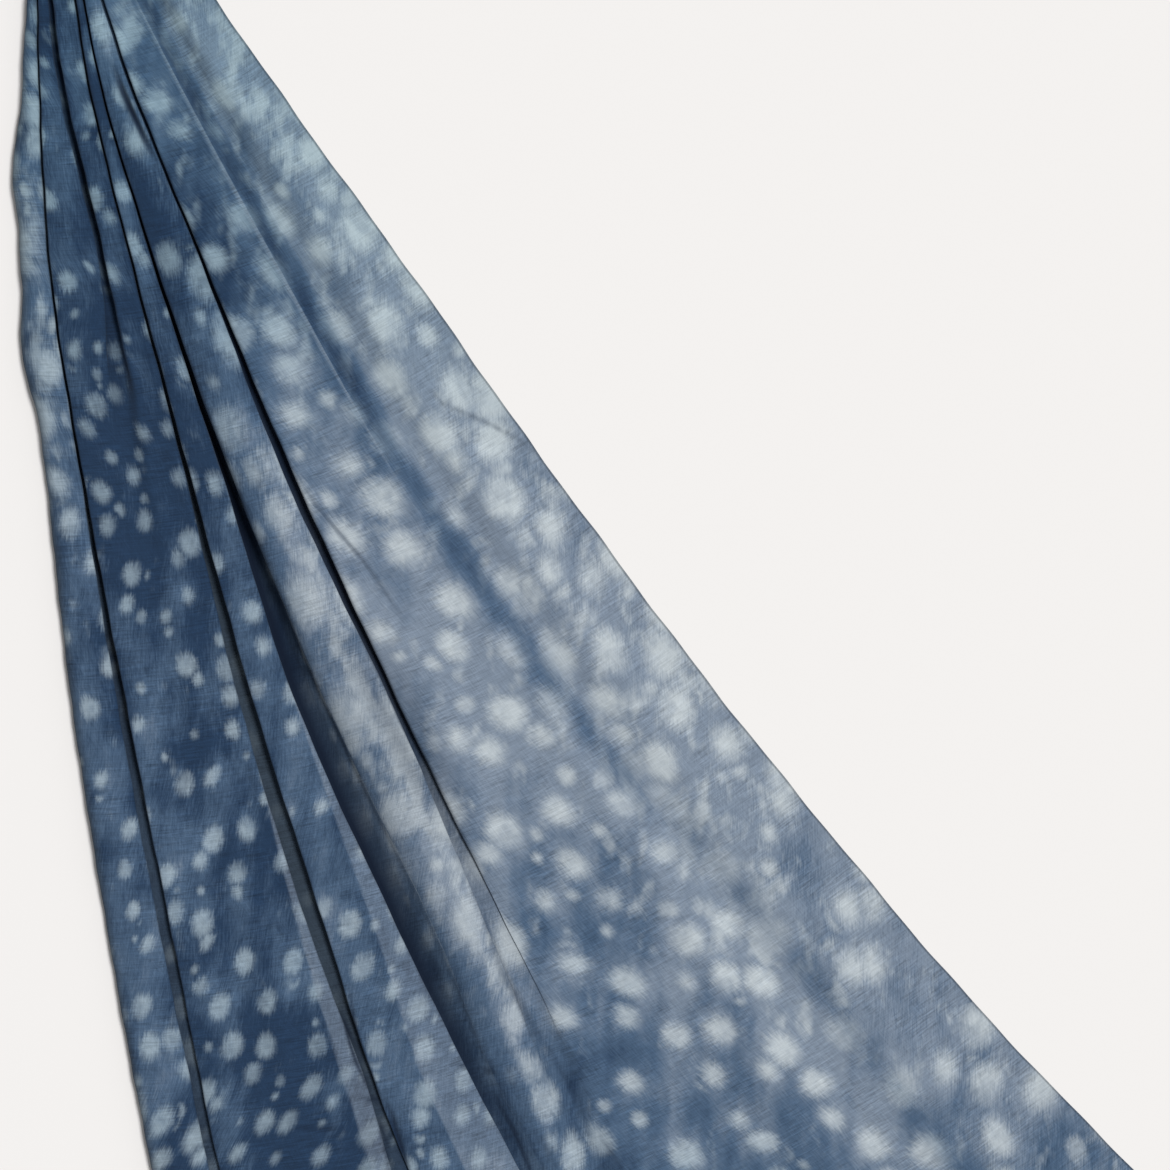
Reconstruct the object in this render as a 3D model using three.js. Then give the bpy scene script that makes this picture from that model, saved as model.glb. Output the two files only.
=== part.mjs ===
// A one-metre cut length of printed lawn, gathered at its head and laid out in its folds.
// Millimetres, +Z up. The cloth lies on the plane Z = 0, its head towards +Y. The origin is
// the middle of its foot print. It is one piece, so it is one solid: a sheet of even
// thickness that runs back and forth across the width, from the tucked-under left selvedge,
// over the rolls and down through the tucks between them, to the free right selvedge.
import * as THREE from 'three';

// Driving dimensions
const SHEET = 1.2;           // thickness of the cloth as a solid
const HALF = SHEET / 2;      // lowest height of its middle, where it lies on the surface
const CLEAR = 0.8;           // least room inside a narrow roll
const LIP_ROUND = 3.2;       // radius where the cloth turns down into a tuck
const FLOOR_ROUND = 2.6;     // radius where it turns back at the bottom of a tuck
const ROWS = 20;             // steps from head to foot

// Stations, measured down from the head. Every list below has one value for each station.
const STATION = [0, 85, 200, 330, 470, 620, 705, 785];

// Left outline: where the first roll turns under, measured from the left of the cloth, and
// the two places where it bulges out, with their reach along the edge.
const LEFT_TURN = [11, 5.5, 4.7, 20.6, 36.4, 60, 75.4, 91];
const BULGES = [
  { down: 135, out: 4.4, reach: 46 },
  { down: 252, out: 4.6, reach: 44 },
];

// Rolls and panels between the tucks, from left to right: height of the cloth above the
// surface, and crown, how far the middle stands above (or sags below) its two shoulders.
const PANELS = [
  { name: 'outer roll', height: [12, 13, 14, 13, 13, 12, 12, 12], crown: 0.08 },
  { name: 'second roll', height: [15, 16, 16, 14, 15, 16, 15, 14], crown: 0.05 },
  { name: 'spotted panel', height: [18, 18, 17, 15, 15, 16, 15, 14], crown: -0.035 },
  { name: 'narrow roll', height: [20, 21, 20, 19, 19, 18, 16, 14], crown: 0.04 },
  { name: 'pale roll', height: [22, 23, 23, 24, 23, 20, 17, 14], crown: 0.09 },
  { name: 'wide panel', height: [20, 20, 19, 17, 15, 11, 9, 7], crown: -0.03 },
];

// Tucks, from left to right. lip: where the cloth on the left turns under. mouth: width of
// the opening. floor: height of its bottom. closed: 1 where the cloth turns under, 0 or less
// where it is an open trough. runLeft, runRight: share of the roll on that side that the
// tuck runs under.
// Where a tuck has them, slack: how much wider the turn on its right is than the one on its
// left. slope: how far its right side is an open slope instead of a turn, from 0 to 1.
const TUCKS = [
  { name: 'first', lip: [15.1, 17, 23.6, 43.2, 66.2, 93.9, 111.5, 127.9],
    mouth: [0.6, 0.6, 0.8, 1.6, 5, 7.2, 6.3, 6.3], floor: [8, 8, 7, 2, 3, 8, 8, 8],
    closed: [0.9, 0.9, 0.95, 1, 1, 1, 1, 1], runLeft: 0.3, runRight: 0.25 },
  { name: 'short', lip: [20.4, 29.9, 56.4, 76.5, 101.7, 139.5, 158, 174],
    mouth: [0.8, 3.4, 3.2, 1, 2, 2, 2, 2], floor: [10, 6, 5, 12, 13.6, 14.6, 14, 13],
    closed: [0.85, 0.95, 0.95, -0.6, -0.2, 0, 0, 0], runLeft: 0.2, runRight: 0.15 },
  { name: 'grey', lip: [35.6, 48.8, 76.5, 109.9, 143, 189, 222, 250],
    mouth: [0.6, 0.7, 1, 2.4, 8.5, 10, 3, 1], floor: [13, 12, 10, 5, 6, 8, 9, 10],
    closed: [0.85, 0.9, 0.95, 0.95, 1, 1, 0.9, 0.4], runLeft: 0.3, runRight: 0.35 },
  { name: 'deep', lip: [40.6, 56.4, 90.7, 133.2, 178.6, 246.3, 290, 333.6],
    mouth: [0.6, 0.8, 1, 2, 7, 7.5, 1.2, 1], floor: [14, 12, 7, 1, 0.6, 0.6, 7, 9],
    closed: [0.85, 0.9, 0.95, 1, 1, 1, 0.8, 0.6], slope: [0, 0, 0.1, 0.35, 0.75, 0.9, 0.7, 0.5],
    runLeft: 0.6, runRight: 0.1, slack: [0.8, 0.8, 1.2, 2.6, 2.6, 2.6, 2.6, 2.6] },
  { name: 'side', lip: [47, 75.3, 121.9, 172.3, 238.5, 308, 345, 375.8],
    mouth: [0.6, 0.8, 1, 5.5, 3, 0.5, 1, 2], floor: [15, 14, 11, 5, 6, 7, 6, 5],
    closed: [0.85, 0.92, 0.95, 1, 1, 0.4, 0, 0], runLeft: 0.25, runRight: 0.15,
    slack: [0.8, 0.8, 1, 1.5, 1.5, 1.5, 1.5, 1.5] },
];

// The free side: a low step across the wide panel, the furrow at its foot, where the cloth
// lies on the surface, a low swell, and the right selvedge, which lies flat.
const STEP = [63.3, 106.8, 169.2, 242.2, 334.8, 432.5, 480, 533.3];
const STEP_HEIGHT = [15, 16, 15, 13, 11, 7, 5, 3];
const FURROW = [72, 118, 184, 261, 357, 461, 517, 572];
const SWELL_HEIGHT = [7, 7, 6.5, 6, 5.5, 5, 4, 3];
const SELVEDGE = [107.4, 166.8, 249.6, 342, 446.8, 569.6, 646.4, 725];
const FLAT_EDGE = 0.16;      // share of the free side that lies flat along the selvedge
const FURROW_FLAT = 0.03;    // the same, at each side of the furrow's middle
const SWELL_CREST = 0.42;    // how far across the swell its crest lies
const UNDER_RUN = 0.55;      // share of the outer roll that the left selvedge is tucked under
const SOFT_SHARE = 0.34;     // share of a neighbouring panel that an open trough takes,
const SOFT_REACH = 15;       // and the most that it takes
const SLOPE_REACH = 1.8;     // how much further an open slope reaches than an open trough
const SLOPE_TOP = 0.3;       // how far an open slope goes on rising at its top, from 0 to 1

const LAWN_BLUE = 0x5d7596;

const mix = (a, b, t) => a + (b - a) * t;
const degrees = (angle) => angle * Math.PI / 180;

// A smooth curve along the length, through one value at each station.
function along(values, down) {
  const last = STATION.length - 1;
  let i = 0;
  while (i < last - 1 && down > STATION[i + 1]) {
    i += 1;
  }
  const slope = (k) => {
    const a = Math.max(k - 1, 0);
    const b = Math.min(k + 1, last);
    return (values[b] - values[a]) / (STATION[b] - STATION[a]);
  };
  const span = STATION[i + 1] - STATION[i];
  const t = (down - STATION[i]) / span;
  const ease = t * t * (3 - 2 * t);
  return mix(values[i], values[i + 1], ease)
    + span * (t * (1 - t) * (1 - t) * slope(i) - t * t * (1 - t) * slope(i + 1));
}

// One side of a tuck, from its shoulder to its floor, as [outwards, height] from the lip.
// Outwards is away from the opening, so a positive run goes under the neighbouring roll.
function tuckSide(top, floor, lipRound, floorRound, run) {
  const turn = (x, z, radius, angle) => [
    x + radius * Math.cos(degrees(angle)),
    z + radius * Math.sin(degrees(angle)),
  ];
  return [
    ...[90, 132, 178].map((angle) => turn(lipRound, top - lipRound, lipRound, angle)),
    ...[5, -42, -90].map((angle) => turn(run - floorRound, floor + floorRound, floorRound, angle)),
  ];
}

// The same number of points on an open trough, or on a slope, steepest at its foot.
function troughSide(top, floor, reach, slope) {
  const turn = Math.PI / 2 * (1 - SLOPE_TOP * slope);
  return [0, 1, 2, 3, 4, 5].map((i) => {
    const share = 1 - i / 6;
    const lift = (Math.sin(share * turn) / Math.sin(turn)) ** (2 - slope);
    return [reach * share, mix(floor, top, lift)];
  });
}

// All of one tuck, left to right, at one place down the length.
function tuckPoints(tuck, down, left, right) {
  const lip = along(tuck.lip, down);
  const mouth = along(tuck.mouth, down);
  const middle = lip + mouth / 2;
  const gap = mouth / 2 + HALF;
  const shut = Math.min(Math.max(along(tuck.closed, down), 0), 1);
  const floor = Math.max(along(tuck.floor, down), HALF);
  const side = (panel, share, slack, closed, slope) => {
    const depth = panel.height - floor;
    const half = (panel.width - SHEET) / 2;
    const lipRound = Math.min(LIP_ROUND * slack, 0.5 * depth, 0.62 * half);
    const run = share * Math.max(half - HALF - CLEAR, 0);
    const floorRound = Math.min(FLOOR_ROUND, 0.4 * depth, 0.8 * (gap + run));
    const turned = tuckSide(panel.height, floor, lipRound, floorRound, run);
    const reach = Math.min(SOFT_SHARE * panel.width, SOFT_REACH) * mix(1, SLOPE_REACH, slope);
    const open = troughSide(panel.height, floor, reach, slope);
    return turned.map(([x, z], i) => [
      mix(open[i][0] + gap, x + gap, closed),
      mix(open[i][1], z, closed),
    ]);
  };
  const leftSide = side(left, tuck.runLeft, 1, shut, 0);
  const slope = tuck.slope ? along(tuck.slope, down) : 0;
  const slack = tuck.slack ? along(tuck.slack, down) : 1;
  const rightSide = side(right, tuck.runRight, slack, shut * (1 - slope), slope);
  const end = rightSide[0][0];
  const inward = (x) => slope * 0.6 * gap * (1 - x / end);
  return [
    ...leftSide.map(([x, z]) => [middle - x, z]),
    [middle - slope * 0.75 * gap, floor],
    ...rightSide.reverse().map(([x, z]) => [middle + x - inward(x), z]),
  ];
}

// Points between the shoulders of one panel.
function panelPoints(from, to, crown, count) {
  const width = to[0] - from[0];
  return Array.from({ length: count }, (_, i) => {
    const share = (i + 1) / (count + 1);
    const arch = 4 * share * (1 - share) * crown * width;
    return [mix(from[0], to[0], share), mix(from[1], to[1], share) + arch];
  });
}

// The outer roll's hidden side: the left selvedge, run back under it, and the outer turn.
function outerTurn(edge, width, height) {
  const radius = Math.min((height - HALF) / 2, 0.45 * (width - SHEET));
  const start = edge + HALF + radius;
  const tuckedEnd = Math.max(edge + UNDER_RUN * width, start + 0.8);
  return [
    [tuckedEnd, HALF],
    [mix(tuckedEnd, start, 0.6), HALF],
    [start, HALF],
    [start - 0.75 * radius, HALF + 0.4 * radius],
    [start - radius, mix(HALF, height, 0.5)],
    [start - 0.75 * radius, height - 0.4 * radius],
    [start, height],
  ];
}

// Height of the swell as a share of its crest.
function swellLift(share) {
  if (share < SWELL_CREST) {
    return Math.sin(share / SWELL_CREST * Math.PI / 2) ** 2;
  }
  return Math.cos((share - SWELL_CREST) / (1 - SWELL_CREST) * Math.PI / 2) ** 2;
}

// The free side, from the wide panel's shoulder over the step to the right selvedge.
function freeSide(shoulder, down) {
  const step = along(STEP, down);
  const stepHeight = along(STEP_HEIGHT, down);
  const furrow = along(FURROW, down);
  const edge = along(SELVEDGE, down);
  const swell = along(SWELL_HEIGHT, down);
  const width = edge - furrow;
  const fall = 0.12 * (furrow - step);
  const flat = FURROW_FLAT * width;
  const rise = furrow + flat;
  const rest = edge - FLAT_EDGE * width;
  const foot = furrow - flat;
  const brow = [step - fall, stepHeight];
  const swellPoints = [1, 2, 3, 4, 5, 6, 7].map((i) => {
    const share = i / 8;
    return [mix(rise, rest, share), mix(HALF, swell, swellLift(share))];
  });
  return [
    ...panelPoints(shoulder, brow, PANELS[5].crown, 4),
    brow,
    [step, mix(HALF, stepHeight, 0.95)],
    [mix(step, foot, 0.45), mix(HALF, stepHeight, 0.5)],
    [foot, HALF],
    [mix(foot, rise, 0.5), HALF],
    [rise, HALF],
    ...swellPoints,
    [rest, HALF],
    [mix(rest, edge, 0.5), HALF],
    [edge - HALF, HALF],
  ];
}

// How far the outer roll bulges out at one place down the length.
function bulge(down) {
  return BULGES.reduce((sum, { down: middle, out, reach }) => {
    const share = Math.min(Math.abs(down - middle) / reach, 1);
    return sum + out * Math.cos(share * Math.PI / 2) ** 2;
  }, 0);
}

// The middle of the cloth across its whole width, at one place down the length.
function section(down) {
  const left = along(LEFT_TURN, down) - bulge(down);
  const lips = TUCKS.map((tuck) => along(tuck.lip, down));
  const ends = TUCKS.map((tuck, i) => lips[i] + along(tuck.mouth, down));
  const starts = [left, ...ends];
  const stops = [...lips, along(STEP, down)];
  const panels = PANELS.map((panel, i) => ({
    height: along(panel.height, down),
    width: stops[i] - starts[i],
    crown: panel.crown,
  }));
  const points = outerTurn(left, panels[0].width, panels[0].height);
  TUCKS.forEach((tuck, i) => {
    const next = tuckPoints(tuck, down, panels[i], panels[i + 1]);
    points.push(...panelPoints(points.at(-1), next[0], panels[i].crown, 3), ...next);
  });
  points.push(...freeSide(points.at(-1), down));
  return points;
}

// The closed sheet: the middle surface, offset by half the thickness to each side, with a
// narrow rim along the head, the foot and both selvedges.
function sheetGeometry() {
  const length = STATION.at(-1);
  const middle = Array.from({ length: ROWS + 1 }, (_, j) => {
    const down = length * j / ROWS;
    return section(down).map(([x, z]) => new THREE.Vector3(x, -down, z));
  });
  const columns = middle[0].length;
  const at = (j, i) => middle[Math.min(Math.max(j, 0), ROWS)][Math.min(Math.max(i, 0), columns - 1)];
  const positions = [];
  for (const side of [1, -1]) {
    for (let j = 0; j <= ROWS; j += 1) {
      for (let i = 0; i < columns; i += 1) {
        const before = at(j, i).clone().sub(at(j, i - 1)).normalize();
        const after = at(j, i + 1).clone().sub(at(j, i)).normalize();
        const across = before.add(after);
        const lengthwise = at(j - 1, i).clone().sub(at(j + 1, i));
        const normal = across.cross(lengthwise).normalize();
        const point = at(j, i).clone().addScaledVector(normal, side * HALF);
        positions.push(point.x, point.y, Math.max(point.z, 0));
      }
    }
  }
  const layer = (ROWS + 1) * columns;
  const indices = [];
  const quad = (a, b, c, d) => indices.push(a, b, c, a, c, d);
  for (let j = 0; j < ROWS; j += 1) {
    for (let i = 0; i < columns - 1; i += 1) {
      const a = j * columns + i;
      quad(a, a + columns, a + columns + 1, a + 1);
      quad(layer + a, layer + a + 1, layer + a + columns + 1, layer + a + columns);
    }
    const start = j * columns;
    const end = start + columns - 1;
    quad(start, layer + start, layer + start + columns, start + columns);
    quad(end, end + columns, layer + end + columns, layer + end);
  }
  const foot = ROWS * columns;
  for (let i = 0; i < columns - 1; i += 1) {
    quad(i, i + 1, layer + i + 1, layer + i);
    quad(foot + i, layer + foot + i, layer + foot + i + 1, foot + i + 1);
  }
  const geometry = new THREE.BufferGeometry();
  geometry.setAttribute('position', new THREE.Float32BufferAttribute(positions, 3));
  geometry.setIndex(indices);
  geometry.computeBoundingBox();
  const centre = geometry.boundingBox.getCenter(new THREE.Vector3());
  geometry.translate(-centre.x, -centre.y, -geometry.boundingBox.min.z);
  geometry.computeVertexNormals();
  return geometry;
}

const lawn = new THREE.MeshStandardMaterial({
  color: LAWN_BLUE, roughness: 0.9, metalness: 0, side: THREE.DoubleSide,
});
const cloth = new THREE.Mesh(sheetGeometry(), lawn);
cloth.name = 'cloth';

const group = new THREE.Group();
group.add(cloth);
export default group;
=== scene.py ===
"""Printed lawn: a gathered cut of indigo cloth with pale brushed spots, laid out in its folds.

The cloth is one thin sheet. Its section across the width runs back and forth, from the
tucked-under left selvedge over the rolls and through the tucks to the free right selvedge.
Lengths in the tables are in millimetres, measured down from the head and across from the
left of the cloth, as in the part's own source.
"""

import math

import bpy
import numpy as np
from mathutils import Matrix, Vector, noise


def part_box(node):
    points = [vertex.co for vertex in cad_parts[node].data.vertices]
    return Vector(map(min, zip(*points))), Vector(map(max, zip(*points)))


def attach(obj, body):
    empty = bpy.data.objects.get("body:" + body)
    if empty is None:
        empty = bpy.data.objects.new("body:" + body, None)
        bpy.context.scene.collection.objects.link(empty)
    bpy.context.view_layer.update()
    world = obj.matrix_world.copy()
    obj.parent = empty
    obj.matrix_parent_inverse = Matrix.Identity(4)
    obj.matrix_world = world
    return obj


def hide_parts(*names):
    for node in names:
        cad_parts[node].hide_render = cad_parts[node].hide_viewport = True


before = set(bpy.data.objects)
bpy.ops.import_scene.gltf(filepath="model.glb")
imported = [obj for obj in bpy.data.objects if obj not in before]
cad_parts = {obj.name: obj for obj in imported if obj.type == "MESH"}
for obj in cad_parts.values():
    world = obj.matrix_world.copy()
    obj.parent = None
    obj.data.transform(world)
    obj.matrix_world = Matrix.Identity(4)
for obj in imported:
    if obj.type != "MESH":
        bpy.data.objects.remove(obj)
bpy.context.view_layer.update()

bl_info = {
    "name": "Printed lawn, gathered cut",
    "version": (1, 0, 0),
    "blender": (4, 5, 0),
    "location": "View3D > Sidebar > Lawn",
    "description": "Makes a gathered cut of printed lawn in its folds",
    "category": "Add Mesh",
}

MM = 0.001

# Stations, measured down from the head. A list of eight below has one value for each station.
STATION = [0, 85, 200, 330, 470, 620, 705, 785]

# Left outline: where the first roll turns under, and its bulges: place down the length, how far
# out, and reach.
LEFT_TURN = [11, 5.5, 4.7, 20.6, 36.4, 60, 75.4, 91]
BULGES = [(135, 4.4, 46), (252, 4.6, 44)]

# Rolls and panels between the tucks, left to right: height of the cloth, and crown, how far
# the middle stands above (or sags below) its two shoulders, as a share of its width.
PANELS = [
    {"name": "outer roll", "height": [12, 13, 14, 13, 13, 12, 12, 12], "crown": 0.08},
    {"name": "second roll", "height": [15, 16, 16, 14, 15, 16, 15, 14], "crown": 0.05},
    {"name": "spotted panel", "height": [18, 18, 17, 15, 15, 16, 15, 14], "crown": -0.035},
    {"name": "narrow roll", "height": [20, 21, 20, 19, 19, 18, 16, 14], "crown": 0.04},
    {"name": "pale roll", "height": [22, 23, 23, 24, 23, 20, 17, 14], "crown": 0.09},
    {"name": "wide panel", "height": [20, 20, 19, 17, 15, 11, 9, 7], "crown": -0.03},
]

# Tucks, left to right. lip: where the cloth on the left turns under. mouth: width of the
# opening. floor: height of its bottom. closed: 1 where the cloth turns under, 0 or less where
# it is an open trough. slope: how far its right side is an open slope instead of a turn.
# run_left, run_right: share of the roll on that side that the tuck runs under. slack: how much
# wider the turn on the right is than the one on the left. wave: length of the small waves along
# its lips. reverse: how much the reverse shows inside it, in a colour painted as dark as it looks
# in shade. gloom: how dark the painted shade inside it is, standing in for its shadow.
TUCKS = [
    {"name": "first", "lip": [15.1, 17, 23.6, 43.2, 66.2, 93.9, 111.5, 127.9],
     "mouth": [0.5, 0.5, 0.7, 1.6, 5, 7.2, 6.3, 6.3], "floor": [8, 8, 7, 2, 3, 8, 8, 8],
     "closed": [0.9, 0.9, 0.95, 1, 1, 1, 1, 1], "slope": [0] * 8, "run_left": 0.3, "run_right": 0.25,
     "slack": [1] * 8, "wave": 61, "reverse": 0.6, "gloom": [0.25] * 8},
    {"name": "short", "lip": [20.4, 29.9, 56.4, 76.5, 101.7, 139.5, 158, 174],
     "mouth": [0.8, 3.4, 3.2, 1, 2, 2, 2, 2], "floor": [10, 6, 5, 12, 13.6, 14.6, 14, 13],
     "closed": [0.85, 0.95, 0.95, -0.6, -0.2, 0, 0, 0], "slope": [0] * 8, "run_left": 0.2,
     "run_right": 0.15, "slack": [1] * 8, "wave": 47, "reverse": 0.0,
     "gloom": [0.4, 0.5, 0.5, 0, 0, 0, 0, 0]},
    {"name": "grey", "lip": [35.6, 48.8, 76.5, 109.9, 143, 189, 222, 250],
     "mouth": [0.6, 0.7, 1, 2.4, 8.5, 10, 3, 1], "floor": [13, 12, 10, 5, 6, 8, 9, 10],
     "closed": [0.85, 0.9, 0.95, 0.95, 1, 1, 0.9, 0.4], "slope": [0] * 8, "run_left": 0.3,
     "run_right": 0.35, "slack": [1] * 8, "wave": 73, "reverse": 0.9, "gloom": [0] * 8},
    {"name": "deep", "lip": [40.6, 56.4, 90.7, 133.2, 178.6, 246.3, 290, 333.6],
     "mouth": [0.5, 0.5, 0.5, 1.6, 7, 7.5, 1.2, 1], "floor": [14, 12, 7, 1, 0.6, 0.6, 7, 9],
     "closed": [0.85, 0.9, 0.95, 1, 1, 1, 0.8, 0.6], "slope": [0, 0, 0.1, 0.35, 0.75, 0.9, 0.7, 0.5],
     "run_left": 0.6, "run_right": 0.1, "slack": [0.8, 0.8, 1.2, 2.6, 2.6, 2.6, 2.6, 2.6],
     "wave": 84, "reverse": 0.0,
     "gloom": [0.7, 0.8, 0.9, 0.96, 0.96, 0.96, 0.75, 0]},
    {"name": "side", "lip": [47, 75.3, 121.9, 172.3, 238.5, 308, 345, 375.8],
     "mouth": [0.5, 0.5, 0.5, 5.2, 3, 0.5, 1, 2], "floor": [15, 14, 11, 5, 6, 7, 6, 5],
     "closed": [0.85, 0.92, 0.95, 1, 1, 0.4, 0, 0], "slope": [0] * 8, "run_left": 0.25,
     "run_right": 0.15, "slack": [0.8, 0.8, 1, 1.5, 1.5, 1.5, 1.5, 1.5], "wave": 66,
     "reverse": 0.0, "gloom": [0.6, 0.7, 0.8, 0.9, 0.85, 0.1, 0, 0]},
]

# The free side: a low step across the wide panel, the furrow at its foot, where the cloth
# lies on the surface, a low swell, and the right selvedge, which lies flat.
STEP = [63.3, 106.8, 169.2, 242.2, 334.8, 432.5, 480, 533.3]
STEP_HEIGHT = [15, 16, 15, 13, 11, 7, 5, 3]
FURROW = [72, 118, 184, 261, 357, 461, 517, 572]
SWELL_HEIGHT = [7, 7, 6.5, 6, 5.5, 5, 4, 3]
SELVEDGE = [107.4, 166.8, 249.6, 342, 446.8, 569.6, 646.4, 725]
FLAT_EDGE = 0.16  # share of the free side that lies flat along the selvedge
FURROW_FLAT = 0.006  # half of the furrow's flat floor, as a share of the free side
STEP_BROW = 0.12  # how early the step starts to fall, as a share of its run
SWELL_CREST = 0.42  # how far across the swell its crest lies

# The turns of the cloth, and what keeps its layers apart.
UNDER_RUN = 0.55  # how far the left selvedge is tucked under its roll, as a share
OUTER_TURN = (0.75, 0.4)  # shape of the outer roll's turn, in its radius: out, and up or down
CLEAR = 0.8  # air between two layers of cloth inside a roll
LIP_ROUND = 2.0  # radius of the turn at a tuck's lip
LIP_LIMITS = (0.5, 0.62)  # its most, as a share of the depth and of half the roll
FLOOR_ROUND = 2.6  # radius of the turn at a tuck's floor
FLOOR_LIMITS = (0.4, 0.8)  # its most, as a share of the depth and of the floor's reach
SOFT_SHARE = 0.34  # reach of an open trough's side, as a share of the roll
SOFT_REACH = 15  # its most
SLOPE_REACH = 1.8  # how much further an open slope reaches than an open trough
SLOPE_TOP = 0.3  # how far an open slope goes on rising at its top, from 0 to 1
SLOPE_SHIFT = (0.75, 0.6)  # how far the floor and the slope move left, in half mouths
CAD_SHEET = 1.2  # thickness of the part's own sheet
HEAD_INSET = 0.3  # how far inside the part's head the cloth starts

# In metres and square metres: the cut laid flat, and the camera straight above it.
VIEW_SIDE = 0.737  # side of the square that the camera takes in
VIEW_MIDDLE = (-0.0034, -0.0044)
LENS = 135.0  # millimetres, as is the sensor
SENSOR = 36.0
KEY_LIGHT = {"strength": 2.83, "angle": 16, "towards": (-0.36, -0.14, -1.0)}
SKY = {"colour": (0.97, 0.985, 1.0, 1.0), "strength": 0.33}


# ---- sizes and colours

def length_setting(name, about, usual, least, most):
    """A length that a user can change."""
    return bpy.props.FloatProperty(name=name, description=about, default=usual, min=least,
                                   max=most, subtype="DISTANCE", unit="LENGTH")


class LawnSizes(bpy.types.PropertyGroup):
    """Sizes of the cloth, its mesh and its spots."""
    thickness: length_setting("Thickness", "Thickness of the lawn", 0.00035, 0.0001, 0.001)
    step_across: length_setting("Step across", "Widest mesh step across the rolls", 0.0022, 0.001, 0.02)
    rows: bpy.props.IntProperty(
        name="Rows", description="Mesh steps from head to foot", default=216, min=20, max=400)
    spot_pitch: length_setting("Spot pitch", "Usual distance between the large spots", 0.0265, 0.01, 0.1)


def colour_setting(name, about, colour):
    """A colour that a user can change."""
    return bpy.props.FloatVectorProperty(
        name=name, description=about, subtype="COLOR", size=4, default=(*colour, 1.0), min=0, max=1)


class LawnColours(bpy.types.PropertyGroup):
    """Colours of the cloth and of the surface under it."""
    deep: colour_setting("Deep indigo", "Ground where the dye is strongest", (0.014, 0.036, 0.080))
    indigo: colour_setting("Indigo", "Usual ground of the gathered side", (0.064, 0.110, 0.182))
    haze: colour_setting("Hazy blue", "Ground of the open side", (0.195, 0.243, 0.312))
    spot: colour_setting("Spot", "Pale spots, where the dye was kept off", (0.480, 0.530, 0.560))
    dim_spot: colour_setting(
        "Dim spot", "Spots of the gathered side, where some dye crept in", (0.430, 0.540, 0.610))
    # Reverse: the back of the cloth, painted as dark as it looks in the shade inside the tucks and on
    # the outer roll's turned-under side.
    reverse: colour_setting(
        "Reverse", "Inside of the tucks, where the reverse shows", (0.034, 0.050, 0.070))
    # Shade is painted shade, not dye: the colour that stands in for the shadow deep inside the tucks and
    # along sharp creases.
    shade: colour_setting(
        "Shade", "Dye deep inside the tucks and along sharp creases", (0.003, 0.009, 0.025))
    # Rim: paler cloth at the folded edges, with a painted highlight where they face the light.
    rim: colour_setting("Rim", "Pale rims of cloth folded back beside the tucks", (0.215, 0.250, 0.300))
    head_tint: colour_setting(
        "Tint at the head", "How much darker and greener the dye is at the head", (0.72, 0.86, 0.90))
    floor: colour_setting("Surface", "Plain pale surface under the cloth", (0.778, 0.758, 0.742))


# ---- the folded section

def mix(a, b, t):
    """The number or array that share of the way from a to b."""
    return a + (b - a) * t


def along(values, down):
    """A smooth curve along the length, through one value at each station."""
    last = len(STATION) - 1
    i = 0
    while i < last - 1 and down > STATION[i + 1]:
        i += 1

    def slope(k):
        a = max(k - 1, 0)
        b = min(k + 1, last)
        return (values[b] - values[a]) / (STATION[b] - STATION[a])

    span = STATION[i + 1] - STATION[i]
    t = (down - STATION[i]) / span
    ease = t * t * (3 - 2 * t)
    bend = t * (1 - t) * (1 - t) * slope(i) - t * t * (1 - t) * slope(i + 1)
    return mix(values[i], values[i + 1], ease) + span * bend


def ripple(down, amount, length, start):
    """Small irregular waves along an edge or a crest, as in any cloth laid out by hand."""
    turn = 2 * math.pi * down / length + start
    return amount * (math.sin(turn) + 0.5 * math.sin(2.3 * turn + 1.7) + 0.3 * math.sin(0.41 * turn))


def bulge(down):
    """How far the outer roll bulges out at one place down the length."""
    total = 0.0
    for place, out, reach in BULGES:
        share = min(abs(down - place) / reach, 1)
        total += out * math.cos(share * math.pi / 2) ** 2
    return total


def turn_points(x, z, radius, angles):
    """Points on a round turn about x, z, at those angles in degrees."""
    return [(x + radius * math.cos(math.radians(a)), z + radius * math.sin(math.radians(a)))
            for a in angles]


def tuck_side(top, floor, lip_round, floor_round, run):
    """One side of a tuck, from its shoulder to its floor, outwards from the lip."""
    return (turn_points(lip_round, top - lip_round, lip_round, (90, 132, 178))
            + turn_points(run - floor_round, floor + floor_round, floor_round, (5, -42, -90)))


def trough_side(top, floor, reach, slope):
    """The same number of points on an open trough, or on a slope, steepest at its foot."""
    turn = math.pi / 2 * (1 - SLOPE_TOP * slope)
    shares = [1 - i / 6 for i in range(6)]
    lifts = [(math.sin(s * turn) / math.sin(turn)) ** (2 - slope) for s in shares]
    return [(reach * s, mix(floor, top, lift)) for s, lift in zip(shares, lifts)]


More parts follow.
